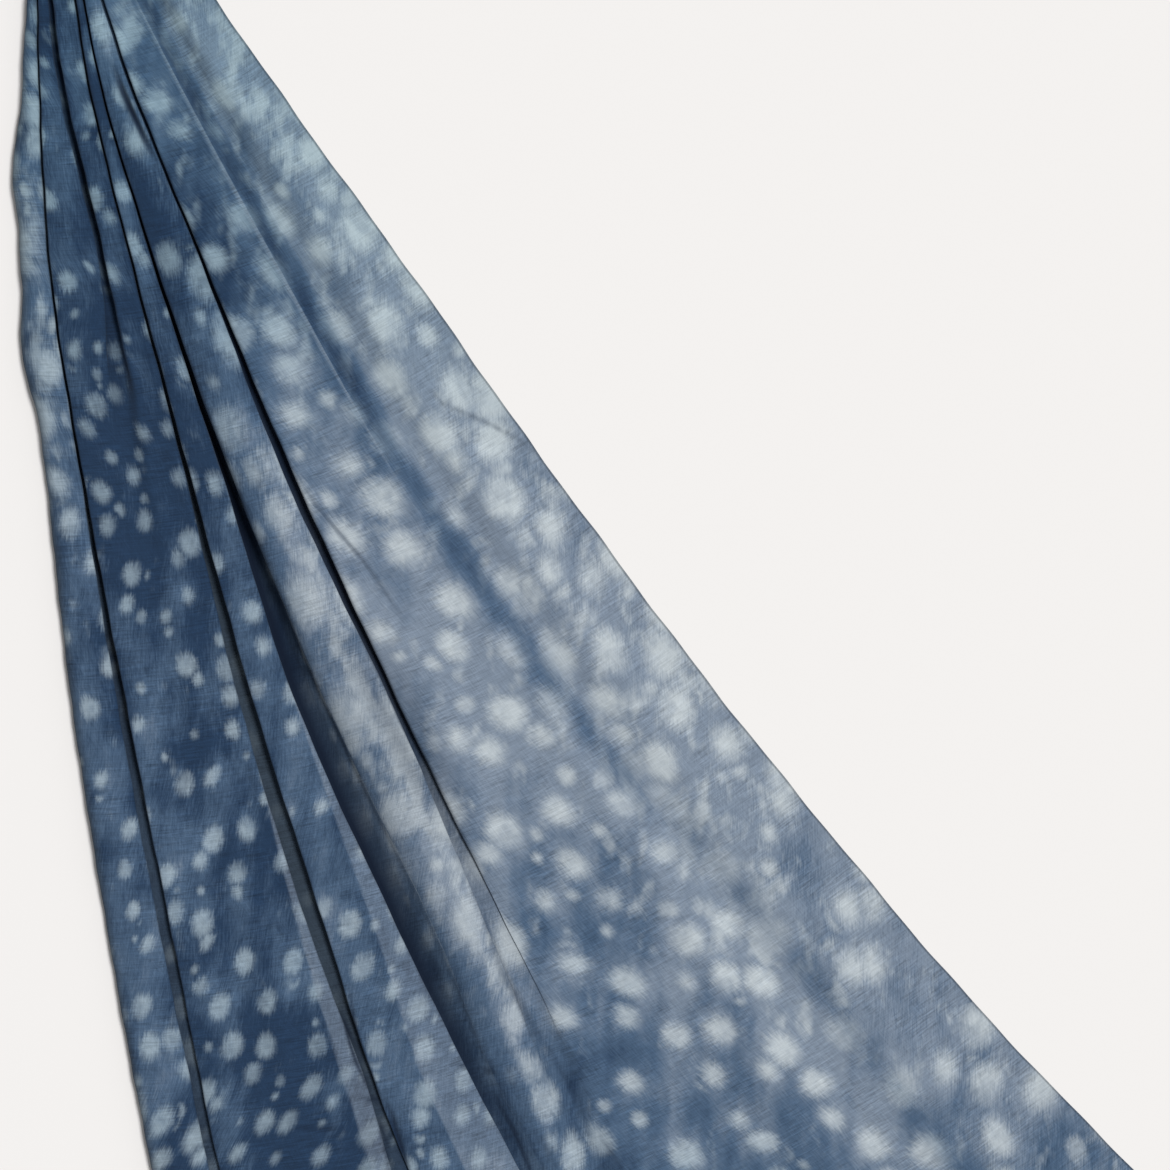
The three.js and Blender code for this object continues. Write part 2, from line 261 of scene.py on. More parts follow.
def tuck_points(tuck, down, left, right, half):
    """All of one tuck, left to right, at one place down the length."""
    lip = along(tuck["lip"], down) + ripple(down, 0.2, tuck["wave"], tuck["wave"])
    mouth = along(tuck["mouth"], down)
    middle = lip + mouth / 2
    gap = mouth / 2 + half
    shut = min(max(along(tuck["closed"], down), 0), 1)
    floor = max(along(tuck["floor"], down), half)

    def side(panel, share, slack, closed, slope):
        depth = panel["height"] - floor
        room = panel["width"] / 2 - half
        lip_round = min(LIP_ROUND * slack, LIP_LIMITS[0] * depth, LIP_LIMITS[1] * room)
        run = share * max(room - half - CLEAR, 0)
        floor_round = min(FLOOR_ROUND, FLOOR_LIMITS[0] * depth, FLOOR_LIMITS[1] * (gap + run))
        turned = tuck_side(panel["height"], floor, lip_round, floor_round, run)
        reach = min(SOFT_SHARE * panel["width"], SOFT_REACH) * mix(1, SLOPE_REACH, slope)
        open_side = trough_side(panel["height"], floor, reach, slope)
        return [(mix(o[0], t[0], closed) + gap, mix(o[1], t[1], closed))
                for o, t in zip(open_side, turned)]

    left_side = side(left, tuck["run_left"], 1, shut, 0)
    slope = along(tuck["slope"], down)
    slack = along(tuck["slack"], down)
    right_side = side(right, tuck["run_right"], slack, shut * (1 - slope), slope)
    end = right_side[0][0]
    floor_shift, slope_shift = [slope * shift * gap for shift in SLOPE_SHIFT]
    inward = [slope_shift * (1 - x / end) for x, _ in right_side]
    return ([(middle - x, z) for x, z in left_side] + [(middle - floor_shift, floor)]
            + [(middle + x - shift, z) for (x, z), shift in zip(right_side, inward)][::-1])


def panel_points(start, end, crown, count):
    """Points between the shoulders of one panel."""
    width = end[0] - start[0]
    shares = [(i + 1) / (count + 1) for i in range(count)]
    return [(mix(start[0], end[0], s), mix(start[1], end[1], s) + 4 * s * (1 - s) * crown * width)
            for s in shares]


def outer_turn(edge, width, height, half):
    """The left selvedge, tucked back under the outer roll, and the roll's outer turn."""
    radius = min((height - half) / 2, 0.45 * width - half)
    start = edge + half + radius
    tucked = max(edge + UNDER_RUN * width, start + CLEAR)
    out, up = [share * radius for share in OUTER_TURN]
    return [
        (tucked, half),
        (mix(tucked, start, 0.6), half),
        (start, half),
        (start - out, half + up),
        (start - radius, mix(half, height, 0.5)),
        (start - out, height - up),
        (start, height),
    ]


def swell_lift(share):
    """Height of the swell as a share of its crest."""
    if share < SWELL_CREST:
        return math.sin(share / SWELL_CREST * math.pi / 2) ** 2
    return math.cos((share - SWELL_CREST) / (1 - SWELL_CREST) * math.pi / 2) ** 2


def free_side(shoulder, down, half):
    """From the wide panel's shoulder, over the step and the furrow, to the right selvedge."""
    step = along(STEP, down)
    step_height = along(STEP_HEIGHT, down)
    furrow = along(FURROW, down)
    edge = along(SELVEDGE, down) + ripple(down, 0.4, 71, 0.4)
    swell = along(SWELL_HEIGHT, down)
    width = edge - furrow
    fall = STEP_BROW * (furrow - step)
    flat = FURROW_FLAT * width
    rise = furrow + flat
    rest = edge - FLAT_EDGE * width
    brow = (step - fall, step_height)
    foot = furrow - flat
    shares = [i / 8 for i in range(1, 8)]
    swell_points = [(mix(rise, rest, s), mix(half, swell, swell_lift(s))) for s in shares]
    return (panel_points(shoulder, brow, PANELS[5]["crown"], 4)
            + [brow,
               (step, mix(half, step_height, 0.95)),
               (mix(step, foot, 0.45), mix(half, step_height, 0.5)),
               (foot, half),
               (mix(foot, rise, 0.5), half),
               (rise, half)]
            + swell_points
            + [(rest, half), (mix(rest, edge, 0.5), half), (edge - half, half)])


def section(down, half):
    """The middle of the cloth across its whole width, at one place down the length."""
    left = along(LEFT_TURN, down) - bulge(down) + ripple(down, 0.22, 43, 2.0)
    lips = [along(tuck["lip"], down) for tuck in TUCKS]
    starts = [left] + [lip + along(tuck["mouth"], down) for lip, tuck in zip(lips, TUCKS)]
    stops = lips + [along(STEP, down)]
    panels = [{"height": along(panel["height"], down) + ripple(down, 0.35, 90 + 13 * i, i),
               "width": stop - start, "crown": panel["crown"]}
              for i, (panel, start, stop) in enumerate(zip(PANELS, starts, stops))]
    points = outer_turn(left, panels[0]["width"], panels[0]["height"], half)
    for i, tuck in enumerate(TUCKS):
        following = tuck_points(tuck, down, panels[i], panels[i + 1], half)
        points += panel_points(points[-1], following[0], panels[i]["crown"], 3) + following
    return points + free_side(points[-1], down, half)


# ---- the sheet's mesh

# Points of the section in the outer turn, in each panel, in each tuck and on the free side.
OUTER_POINTS = 7
PANEL_POINTS = 3
TUCK_POINTS = 13
FREE_POINTS = 20
SIDE_SHOULDER = OUTER_POINTS + 5 * (PANEL_POINTS + TUCK_POINTS) - 1

# One value for each point of a tuck, left to right: how deep it lies, from 0 to 1, which sets how
# much painted shade and dark reverse it gets, how free of creases it is, and whether it is on a
# crest, 1, or in a hollow, 0, which makes it paler as painted light. Between them, mesh steps.
DEPTHS = [0, 0, 0, 0.9, 1, 1, 1, 0.62, 0.22, 0.06, 0, 0, 0]
CALM = [0, 0.5, 1, 1, 1, 1, 1, 1, 1, 1, 0.6, 0.2, 0]
TUCK_CREST = [0.4, 0.3, 0.2, 0, 0, 0, 0, 0, 0, 0, 0.05, 0.15, 0.3]
TUCK_STEPS = [3, 3, 4, 1, 1, 3, 3, 2, 3, 4, 3, 3]
# The same for the points of the outer turn, of the panels and of the free side: how much the
# reverse shows, painted as dark as it looks in shade, how far the point is on a crest, which
# makes it paler as painted light, and its band of dye.
OUTER_REVERSE = [1, 1, 1, 0.9, 0.8, 0.5, 0]
OUTER_CREST = [0, 0, 0, 0.1, 0.2, 0.4, 0.6]
PANEL_CREST = [0.8, 1, 0.8]
PALE_CREST = [0.4, 0.9, 1.1]
FREE_CREST = [0.8, 0.9, 1, 1, 0.9, 0.8] + [0.7] * 14
FREE_BANDS = [5, 5, 5.05, 5.15, 5.3, 5.4, 5.6, 5.8, 5.85, 5.95, 6.1, 6.3, 6.5, 6.7, 6.9] + [7] * 5

# Small unevenness all over: its height; how much longer it is along the folds than across them;
# its width, at a fixed distance from where the folds meet; and its place.
UNEVEN = [(0.55, 3.0, 22, 1.5), (0.22, 2.0, 8, 7.5)]
GATHER = (23, -123)  # where the folds meet above the head, across and down
FAN_RADIUS = 420  # that distance
OPEN_HEIGHT = (0.5, 4.0)  # creases and unevenness fade in between these heights

# Dye of the cloth, in bands from left to right: the six panels, the furrow and the free swell.
# haze: near 0 for deep indigo, 1 for hazy blue. pale: 0 for separate spots, 1 where they run
# together into pale clouds. size: of the spots, 1 for the usual one. comb: how far the brush
# strokes lean across the fold, in degrees.
BANDS = [
    {"name": "outer roll", "haze": [0.1, 0.35, 0.42, 0.28, 0.2, 0.2, 0.14, 0.16],
     "pale": [0.2, 0.5, 0.6, 0.4, 0.0, 0.0, 0.1, 0.15],
     "size": [1.0, 1.1, 1.2, 1.1, 0.7, 0.6, 0.85, 0.95], "comb": 5},
    {"name": "second roll", "haze": [0.1, 0.14, 0.05, -0.08, 0.18, 0.16, 0.05, 0.1],
     "pale": [0, 0, 0, 0, 0, 0.05, 0, 0],
     "size": [0.6, 0.65, 0.7, 0.75, 0.72, 0.72, 0.75, 0.8], "comb": 0},
    {"name": "spotted panel", "haze": [0.1, 0.12, -0.04, -0.1, 0.18, 0.06, -0.1, -0.1],
     "pale": [0] * 8, "size": [0.6, 0.65, 0.7, 0.75, 0.72, 0.7, 0.7, 0.8], "comb": 3},
    {"name": "narrow roll", "haze": [0.1, 0.12, 0.08, -0.04, 0.24, 0.24, 0.16, 0.14],
     "pale": [0] * 8, "size": [0.6, 0.65, 0.7, 0.75, 0.75, 0.72, 0.75, 0.8], "comb": 3},
    {"name": "pale roll", "haze": [0.3, 0.35, 0.05, 0.48, 0.7, 0.85, 0.45, 0.3],
     "pale": [0.3, 0.4, 0.0, 0.4, 0.8, 0.8, 0.45, 0.3],
     "size": [0.8, 0.95, 0.95, 1.3, 1.4, 1.15, 0.9, 0.8], "comb": 10},
    {"name": "wide panel", "haze": [0.42, 0.28, 0.2, 0.62, 0.87, 0.46, 0.48, 0.18],
     "pale": [0.6, 0.45, 0.4, 0.15, 0.2, 0.1, 0.0, 0.0],
     "size": [0.7, 0.75, 0.85, 0.95, 0.95, 0.85, 0.75, 0.75], "comb": 60},
    {"name": "furrow", "haze": [0.55, 0.8, 0.78, 1.0, 1.25, 1.38, 1.0, 0.6],
     "pale": [0.4, 0.5, 0.4, 0.5, 0.72, 0.8, 0.3, 0.1],
     "size": [0.8, 0.8, 0.9, 0.95, 0.95, 0.95, 0.9, 0.9], "comb": 50},
    {"name": "free swell", "haze": [0.55, 1.0, 0.92, 0.95, 1.0, 0.82, 0.7, 0.55],
     "pale": [0.6, 0.75, 0.5, 0.5, 0.5, 0.25, 0.25, 0.25],
     "size": [0.8, 0.9, 1.05, 1.12, 1.15, 1.15, 1.1, 1.0], "comb": 10},
]
LATE = [0, 0, 0, 0, 0.35, 0.1]  # how much of a roll's own dye is missing on its left flank

# Dye covers the spots on the pale roll's left flank. start, end: the bands it fades over.
FLANK_COVER = {"start": (3.0, 3.12), "end": (3.62, 3.95),
               "amount": [0, 0, 0.2, 0.4, 0.3, 0.5, 0.9, 0.9]}

# A darker band along the furrow. middle: across. width: half of it. less: how much haze
# it loses. cover: how far it hides the spots.
FURROW_BAND = {
    "middle": [68, 112, 173, 250, 349, 480, 548, 615],
    "width": [5, 7, 8.5, 11.5, 16, 17, 15, 14],
    "less": [0.2, 0.4, 0.48, 0.6, 0.65, 0.62, 0.45, 0.3],
    "cover": [0.4, 0.5, 0.7, 0.8, 0.7, 0.6, 0.4, 0.3],
}
OPEN_SPREAD = 1.3  # how much further apart the spots lie on the open side
OPEN_FROM = 3.4  # the band that the open side starts in, within the pale roll

# Pale rims, left of a tuck's lip or of the step: paler cloth at the folded edges, with a painted
# highlight where the fold faces the light; the one on the step is only a painted highlight along
# its ridge. band: of dye. width: none where it is 0 or less. soft: how soft the left edge is.
# tone: how much paler.
RIMS_AND_HIGHLIGHTS = [
    {"band": 2, "width": [0, 0, 0, 0, -1.5, 7, 14.5, 18], "soft": 0.8, "tone": 0.48},
    {"band": 3, "width": [0, 0, 0, 0.5, 1, 15.5, 32, 38], "soft": 0.8, "tone": 0.38},
    {"band": 5, "width": [0, 2.0, 3.0, 0.6, 0, 0, 0, 0], "soft": 1.8, "tone": 0.6},
]

# Creases, listed one by one. In each row: its name; the height of a ridge, or less than 0 for a trough;
# half its width; 1 for a sharp fold and 2 for a round one; how deep its shade is, from 0 to 1;
# and the points of its line, across and down.
CREASES = [
    ("free side, slanting", -0.9, 1.3, 1, 0.35,
     [(260, 272), (270, 283), (292, 292), (318, 305), (328, 314)]),
    ("thin, by the side tuck", -0.7, 1.4, 1, 0.45,
     [(180, 331), (191, 347), (206, 365), (220, 381), (231, 397), (244, 417)]),
    ("low free side", -0.7, 2.4, 2, 0, [(495, 636), (522, 673), (546, 700)]),
    ("twin, high", -4.0, 1.9, 1, 1, [(65, 72), (70, 87), (74.7, 98), (80, 109), (85, 120), (91, 131)]),
    ("ridge by the twin", 1.6, 1.6, 2, 0, [(69, 77), (77.5, 98), (86, 117)]),
    ("foot of the side tuck", -1.0, 2.2, 1, 0.9,
     [(217, 424), (237, 463), (245, 482), (255, 501), (261, 514), (267, 526), (274, 542)]),
    ("shade beside it", 0, 9, 2, 0.3, [(226, 424), (243, 455), (262, 494), (276, 526), (292, 560)]),
    ("shade on the pale roll", 0, 7, 2, 0.35,
     [(211, 431), (227, 463), (236, 482), (246, 501), (258, 526), (268, 550)]),
    # The two lines along the grey tuck lift nothing: they are only painted shade, standing in for the
    # shadows of small folds there.
    ("left shadow_line, grey tuck", 0, 1.3, 1, 0.85,
     [(200, 640), (205.7, 658), (212, 684), (216, 696), (222, 709), (227, 720)]),
    ("right shadow_line, grey tuck", 0, 1.3, 1, 0.85,
     [(211, 648), (213.3, 658), (217, 684), (222, 696), (227.7, 709), (232, 719)]),
    ("pinch, deep tuck", -2.4, 1.6, 1, 0.7, [(275, 697), (291, 699), (306, 703)]),
    ("foot, deep tuck", -2.4, 2.0, 1, 0.8,
     [(298, 709), (303, 718), (310, 731), (315, 740), (324, 762), (331, 783)]),
    ("crumple, grey tuck", -2.0, 1.6, 1, 0.7, [(218, 717), (226, 720), (234, 718)]),
    ("left foot, grey tuck", -2.6, 1.8, 1, 0.7, [(229, 724), (233, 742), (237, 766)]),
    ("right foot, grey tuck", -2.6, 2.0, 1, 0.75, [(233, 720), (238, 728), (242, 743), (249, 766)]),
    ("ledge, pale roll", -2.6, 2.8, 1, 0.35,
     [(267, 539), (273, 554), (280, 567), (288, 580), (298, 608), (308, 640), (324, 668),
      (335, 687), (352, 715), (360, 734), (370, 766)]),
    ("trough, pale roll", -2.0, 6, 2, 0, [(288, 570), (300, 589), (311, 611), (338, 652)]),
    ("tail, second roll", -2.0, 3, 2, 0, [(59, 217), (62, 236), (67, 280)]),
    ("cross, outer roll", -0.8, 1.4, 1, 0.3, [(114, 750), (127, 750)]),
    ("cross, spotted panel", -0.8, 1.4, 1, 0.45, [(171, 740), (190, 737), (209, 739)]),
    ("low, wide panel", -1.2, 1.8, 1, 0.3, [(369, 743), (383, 766)]),
    ("edge of the narrow roll", 1.6, 7, 2, 0,
     [(202, 539), (221, 595), (237, 640), (253, 690), (278, 747)]),
]


def at_points(outer, panels, tucks, free):
    """One value for each point of the section, from those of its stretches, left to right."""
    values = list(outer)
    for panel, tuck in zip(panels, tucks):
        values += list(panel) + list(tuck)
    return np.array(values + list(free))


def in_tucks(rows):
    """The values given for the points of each tuck, and 0 at all other points."""
    return at_points([0] * OUTER_POINTS, [[0] * PANEL_POINTS] * len(TUCKS), rows, [0] * FREE_POINTS)


def band_of_points():
    """Which band of dye each point of the section lies in, as a number from 0 to 7."""
    shares = [(i / (TUCK_POINTS - 1)) ** 2.5 for i in range(TUCK_POINTS)]
    panels = [[i - LATE[i] * share for share in (0.8, 0.35, 0.0)] for i in range(len(TUCKS))]
    tucks = [[i + (1 - LATE[i + 1]) * share for share in shares] for i in range(len(TUCKS))]
    return at_points([0] * OUTER_POINTS, panels, tucks, FREE_BANDS)


def reverse_of_points():
    """How much the reverse shows at each point, where its tuck is closed, in a colour painted as dark as
    it looks in shade.
    """
    shown = in_tucks([[depth * tuck["reverse"] for depth in DEPTHS] for tuck in TUCKS])
    shown[:OUTER_POINTS] = OUTER_REVERSE
    return shown


def lit_crest_of_points():
    """1 along the middle of every roll and panel, and 0 in the tucks: the ground is made paler there as
    painted light.
    """
    panels = [PALE_CREST if roll["name"] == "pale roll" else PANEL_CREST for roll in PANELS]
    return at_points(OUTER_CREST, panels, [TUCK_CREST] * len(TUCKS), FREE_CREST)


def in_rows(values, downs):
    """A curve along the length, as one value for each row of the mesh."""
    return np.array([[along(values, down)] for down in downs])


def tuck_values(column, downs, band):
    """A column of the table of tucks for the tuck in each band, in every row, from 0 to 1."""
    values = np.hstack([in_rows(tuck[column], downs) for tuck in TUCKS])
    return np.clip(values, 0, 1)[:, np.clip(band.astype(int), 0, len(TUCKS) - 1)]


def rim_and_highlight_values(x, downs, band, depth):
    """1 on the pale rims and 0 elsewhere, by their tone: paler cloth at the folded edges, with a painted
    highlight.
    """
    edges = [tuck["lip"] for tuck in TUCKS] + [STEP]
    total = np.zeros(x.shape)
    for rim in RIMS_AND_HIGHLIGHTS:
        edge = in_rows(edges[rim["band"]], downs)
        width = np.maximum(in_rows(rim["width"], downs), 0)
        inside = ease_in(x, edge - width - rim["soft"], edge - width + rim["soft"])
        inside = inside * np.minimum(width, 1)
        there = (band >= rim["band"]) & (band < rim["band"] + 0.4) & (depth < 0.3)
        there = there & (x < edge + 1.5)
        total += rim["tone"] * inside * there
    return total


def steps_between_points(points, step_across):
    """How many mesh steps to make between one point and the next, the same in every row."""
    gaps = np.linalg.norm(np.diff(points, axis=1), axis=2).max(axis=0)
    steps = np.clip(np.ceil(gaps / step_across), 1, 16).astype(int)
    for i in range(len(TUCKS)):
        first = OUTER_POINTS + i * (PANEL_POINTS + TUCK_POINTS) + PANEL_POINTS
        steps[first:first + TUCK_POINTS - 1] = TUCK_STEPS
    return steps


def smooth_between(points, steps):
    """A smooth curve through the points of every row, with the given steps between them."""
    gaps = np.linalg.norm(np.diff(points, axis=1), axis=2)
    width = np.sqrt(np.maximum(gaps, 1e-6))[..., None]
    secant = np.diff(points, axis=1) / width
    inner = ((secant[:, :-1] * width[:, 1:] + secant[:, 1:] * width[:, :-1])
             / (width[:, :-1] + width[:, 1:]))
    slope = np.concatenate([secant[:, :1], inner, secant[:, -1:]], axis=1)
    columns = []
    for i, count in enumerate(steps):
        for k in range(count):
            t = k / count
            ease = t * t * (3 - 2 * t)
            bend = t * (1 - t) ** 2 * slope[:, i] - t * t * (1 - t) * slope[:, i + 1]
            columns.append(mix(points[:, i], points[:, i + 1], ease) + width[:, i] * bend)
    columns.append(points[:, -1])
    return np.stack(columns, axis=1)


def straight_between(values, steps):
    """The same steps between plain values, one for each point."""
    places = np.concatenate([[0], np.cumsum(steps)])
    return np.interp(np.arange(places[-1] + 1), places, values)


def distance_to_line(x, down, line):
    """Distance of every point to a crease's line, and how far along the line it is."""
    nearest = np.full(x.shape, 1e9)
    share = np.zeros(x.shape)
    line = [np.array(p, float) for p in line]
    lengths = [np.linalg.norm(b - a) for a, b in zip(line, line[1:])]
    done = 0.0
    for a, b, length in zip(line, line[1:], lengths):
        t = ((x - a[0]) * (b - a)[0] + (down - a[1]) * (b - a)[1]) / length ** 2
        t = np.clip(t, 0, 1)
        away = np.hypot(x - mix(a[0], b[0], t), down - mix(a[1], b[1], t))
        closer = away < nearest
        nearest = np.where(closer, away, nearest)
        share = np.where(closer, (done + t * length) / sum(lengths), share)
        done += length
    return nearest, share


def crease_heights(x, down):
    """How far all the creases lift the cloth or let it sink, and how dark the painted shade along them
    is.
    """
    total = np.zeros(x.shape)
    dark = np.zeros(x.shape)
    for _, rise, width, softness, shade, line in CREASES:
        away, share = distance_to_line(x, down, line)
        fade = np.sin(np.clip(share, 0.04, 0.96) * math.pi) ** 0.6
        total += rise * fade * np.exp(-(away / width) ** softness)
        # Painted shade along the crease, darkest on its line.
        dark = np.maximum(dark, shade * fade * np.exp(-(away / width) ** 2))
    return total, dark


def uneven(x, down, lift, long, wide, seed):
    """Low hollows and swells, longer along the folds than across them."""
    angle = np.arctan2(x - GATHER[0], down - GATHER[1])
    radius = np.hypot(x - GATHER[0], down - GATHER[1])
    across = angle * FAN_RADIUS / wide
    lengthways = radius / (wide * long)
    flat = [noise.noise(Vector((a, b, seed))) for a, b in zip(across.ravel(), lengthways.ravel())]
    return lift * np.array(flat).reshape(x.shape)


def ease_in(value, low, high):
    """0 below low and 1 above high, smoothly between."""
    t = np.clip((value - low) / (high - low), 0, 1)
    return t * t * (3 - 2 * t)


def sheet_rows(sizes):
    """The cloth's points row by row, in millimetres, the side tuck's shoulder, and the dye with its
    painted light and shade.
    """
    half = sizes.thickness / MM / 2
    downs = np.linspace(STATION[0], STATION[-1], sizes.rows + 1)
    points = np.array([section(down, half) for down in downs])
    steps = steps_between_points(points, sizes.step_across / MM)
    rows = smooth_between(points, steps)
    x, z = rows[..., 0], rows[..., 1]
    down = np.repeat(downs[:, None], x.shape[1], axis=1)
    depth = straight_between(in_tucks([DEPTHS] * len(TUCKS)), steps)
    calm = straight_between(in_tucks([CALM] * len(TUCKS)), steps)
    open_air = (1 - calm) * ease_in(z, *OPEN_HEIGHT)

    lift, dark = crease_heights(x, down)
    z = z + lift * open_air
    for row in UNEVEN:
        z = z + uneven(x, down, *row) * open_air
    z = np.maximum(z, half)

    band = straight_between(band_of_points(), steps)
    reverse = straight_between(reverse_of_points(), steps) * tuck_values("closed", downs, band)
    # Painted shade inside the tucks, darker where the cloth lies deeper, standing in for its shadow.
    gloom = depth * tuck_values("gloom", downs, band)
    less, covered = furrow_band(x, downs)
    dyes_and_painted_light = {
        "haze": dye_values("haze", downs, band) - less,
        "pale": dye_values("pale", downs, band),
        "size": dye_values("size", downs, band),
        "comb": np.interp(band, np.arange(len(BANDS)), [row["comb"] for row in BANDS]),
        "cover": np.maximum(flank_cover(downs, band), covered),
        "spread": np.where(band > OPEN_FROM, OPEN_SPREAD, 1.0),
        "crest": straight_between(lit_crest_of_points(), steps),
        "rim": rim_and_highlight_values(x, downs, band, depth),
        "reverse": reverse,
        # Painted shade of the tucks and of the creases, whichever is darker.
        "gloom": np.maximum(gloom, dark),
    }
    shoulder = int(np.sum(steps[:SIDE_SHOULDER]))
    return x, down, z, shoulder, dyes_and_painted_light


def measured_across(x, z):
    """Distance over the cloth from its left selvedge, in every row."""
    gaps = np.hypot(np.diff(x, axis=1), np.diff(z, axis=1))
    return np.concatenate([np.zeros((len(x), 1)), np.cumsum(gaps, axis=1)], axis=1)


def dye_values(column, downs, band):
    """One dye column of the table of bands, smooth along the length and across the bands."""
    table = np.hstack([in_rows(row[column], downs) for row in BANDS])
    low = np.clip(band.astype(int), 0, len(BANDS) - 2)
    return mix(table[:, low], table[:, low + 1], band - low)


def flank_cover(downs, band):
    """How far the dye covers the spots on the pale roll's flank, in every row."""
    there = ease_in(band, *FLANK_COVER["start"]) * (1 - ease_in(band, *FLANK_COVER["end"]))
    return in_rows(FLANK_COVER["amount"], downs) * there


def furrow_band(x, downs):
    """How much haze the dark band along the furrow takes away, and how far it covers the spots."""
    middle, width, less, cover = [in_rows(FURROW_BAND[name], downs)
                                  for name in ("middle", "width", "less", "cover")]
    there = np.exp(-((x - middle) / width) ** 2)
    return less * there, cover * there


def placed(x, down, z):
    """Table millimetres as metres in the shared frame."""
    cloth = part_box("cloth")
    shift_x = cloth[1].x - (SELVEDGE[-1] - CAD_SHEET / 2) * MM
    head_y = cloth[1].y - HEAD_INSET * MM
    return np.stack([x * MM + shift_x, head_y - down * MM, z * MM], axis=-1)


def sheet_mesh(sizes):
    """The cloth's mesh, with its print and grain maps and its columns of dye and of painted light and
    shade.
    """
    x, down, z, shoulder, dyes_and_painted_light = sheet_rows(sizes)
    rows, columns = x.shape
    corners = placed(x, down, z).reshape(-1, 3)
    number = np.arange(rows * columns).reshape(rows, columns)
    faces = np.stack([number[:-1, :-1], number[1:, :-1], number[1:, 1:], number[:-1, 1:]], axis=-1)
    mesh = bpy.data.meshes.new("lawn cloth")
    mesh.from_pydata(corners.tolist(), [], faces.reshape(-1, 4).tolist())
    mesh.validate()
    mesh.polygons.foreach_set("use_smooth", np.ones(len(mesh.polygons), bool))

    across = measured_across(x, z)
    print_across = across - across[:, shoulder:shoulder + 1] + x[:, shoulder:shoulder + 1]
    from_selvedge = across[:, -1:] - across
    from_head = np.hypot(x - GATHER[0], down - GATHER[1])
    loops = np.zeros(len(mesh.loops), int)
    mesh.loops.foreach_get("vertex_index", loops)
    for name, u, v in (("print", print_across, down), ("grain", from_selvedge, from_head)):
        layer = mesh.uv_layers.new(name=name)
        flat = np.stack([u.ravel(), v.ravel()], axis=-1)[loops] * MM
        layer.data.foreach_set("uv", flat.ravel())

    for name, values in dyes_and_painted_light.items():
        column = mesh.attributes.new(name, "FLOAT", "POINT")
        column.data.foreach_set("value", np.broadcast_to(values, x.shape).ravel())
    return mesh


# ---- the printed lawn

class Value:
    """A value in the shader that ordinary arithmetic builds on."""

    def __init__(self, tree, socket):
        self.tree = tree
        self.socket = socket

    def node(self, kind, settings, inputs, output=0):
        """Any node: its type and settings, then its inputs, by name or place."""
        made = self.tree.nodes.new(kind)
        for name, setting in settings.items():
            setattr(made, name, setting)
        for place, given in inputs.items():
            if isinstance(given, Value):
                self.tree.links.new(given.socket, made.inputs[place])
            else:
                made.inputs[place].default_value = given
        return Value(self.tree, made.outputs[output])

    def beside(self, output):
        """Another output of the node that this value comes from."""
        return Value(self.tree, self.socket.node.outputs[output])

    def maths(self, operation, *others):
        """One Math node, of that operation."""
        inputs = dict(enumerate((self,) + others))
        return self.node("ShaderNodeMath", {"operation": operation}, inputs)

    def __add__(self, other):
        return self.maths("ADD", other)

    def __sub__(self, other):
        return self.maths("SUBTRACT", other)

    def __mul__(self, other):
        return self.maths("MULTIPLY", other)

    def __truediv__(self, other):
        return self.maths("DIVIDE", other)

    def __pow__(self, other):
        return self.maths("POWER", other)

    def __neg__(self):
        return self * -1.0

    def __rsub__(self, other):
        return (-self) + other

    __radd__ = __add__
    __rmul__ = __mul__

    def clamped(self):
        """Kept between 0 and 1."""
        return self.node("ShaderNodeClamp", {}, {0: self})

    def eased(self, low, high):
        """0 below low and 1 above high, smoothly between, or the other way if low > high."""
        settings = {"interpolation_type": "SMOOTHSTEP"}
        return self.node("ShaderNodeMapRange", settings, {0: self, 1: low, 2: high, 3: 0.0, 4: 1.0})

    def blended(self, a, b):
        """Colour a where this value is 0, and b where it is 1."""
        return self.node("ShaderNodeMix", {"data_type": "RGBA"}, {0: self, 6: a, 7: b}, 2)

    def tinted(self, colour):
        """The colour made lighter or darker by this value."""
        settings = {"operation": "SCALE"}
        return self.node("ShaderNodeVectorMath", settings, {0: colour, 3: self})

    def times(self, colour):
        """This colour times another."""
        settings = {"operation": "MULTIPLY"}
        return self.node("ShaderNodeVectorMath", settings, {0: self, 1: colour})

    def split(self):
        """Its three parts, such as x, y and z."""
        first = self.node("ShaderNodeSeparateXYZ", {}, {0: self})
        return [first.beside(i) for i in range(3)]

    def with_y(self, y):
        """A vector of this value and y."""
        return self.node("ShaderNodeCombineXYZ", {}, {0: self, 1: y})


# Soft noise in the dye and the weave: its width and length in metres, its place, and in some its
# detail and roughness.
NOISE = {
    "lean": (0.07, 0.09, 4.0),
    "bend": (0.03, 0.05, 14.0),
    "strokes": (0.0010, 0.010, 2.0, 3.0, 0.65),
    "slanting strokes": (0.0010, 0.010, 6.0, 3.0, 0.65),
    "broad dye": (0.040, 0.065, 11.0, 3.0, 0.55),
    "dye streaks": (0.014, 0.080, 81.0),
    "merging spots": (0.016, 0.026, 21.0),
    "uneven spots": (0.006, 0.008, 71.0),
    "weak spots": (0.020, 0.020, 95.0),
    "slubs": (0.016, 0.0010, 31.0, 4.0, 0.75),
    "dashes": (0.024, 0.0019, 61.0, 2.0, 0.6),
    "warp ends": (0.0008, 0.016, 41.0, 3.0, 0.7),
    "patches": (0.03, 0.03, 51.0),
}
BEND = 0.006  # how far the strokes bend, in metres
SLANT = (0.64, 0.77)  # direction of the strokes that cross the open side
SLANT_COMB = (15.0, 45.0)  # leans between which the slanting strokes take over

